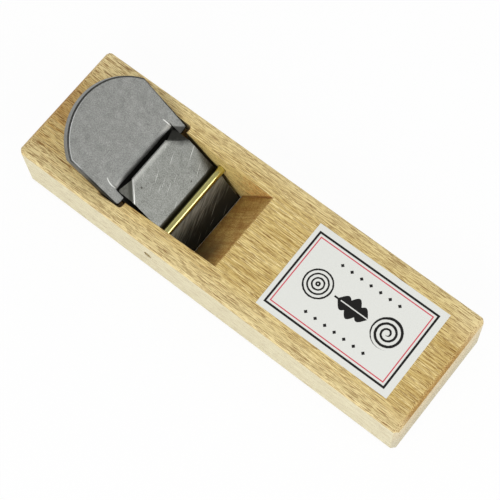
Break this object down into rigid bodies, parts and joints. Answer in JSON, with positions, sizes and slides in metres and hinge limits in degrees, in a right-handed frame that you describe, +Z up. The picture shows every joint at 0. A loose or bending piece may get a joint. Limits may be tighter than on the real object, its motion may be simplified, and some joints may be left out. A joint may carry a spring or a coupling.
{
  "type": "hand plane",
  "caption": "Wooden pull plane: a low oak block with a sloping throat, a round-headed steel blade holder, a folded chip breaker and a brass pressure rod, for shaving wood flat.",
  "frame": {"origin": "middle of the sole, on the bottom face of the block", "axes": "+X along the block from the head of the iron towards the label end, +Y across, +Z up from the sole"},
  "size_m": [0.25, 0.075, 0.0658],
  "materials": {
    "oak": "planed and sanded, straw coloured with short dark pores",
    "brass": "polished round bar",
    "paper": "printed paper, matt",
    "holder_steel": "blasted satin grey",
    "blade_steel": "ground",
    "breaker_steel": "satin, ground bright on the lower leg"
  },
  "bodies": {
    "block": {"plane_body": "oak", "pressure_rod": "brass", "label": "paper"},
    "iron": {"blade_holder": "holder_steel", "cutting_blade": "blade_steel", "blade_locating_pins": "blade_steel"},
    "breaker": {"chip_breaker": "breaker_steel"}
  },
  "joints": [
    {"name": "iron_slide", "type": "slide", "parent": "block", "child": "iron", "axis": [-0.7771, 0, 0.6293], "range_m": [-0.0007, 0.06]},
    {"name": "chip_breaker_slide", "type": "slide", "parent": "iron", "child": "breaker", "axis": [-0.7771, 0, 0.6293], "range_m": [-0.0005, 0.0008]}
  ]
}
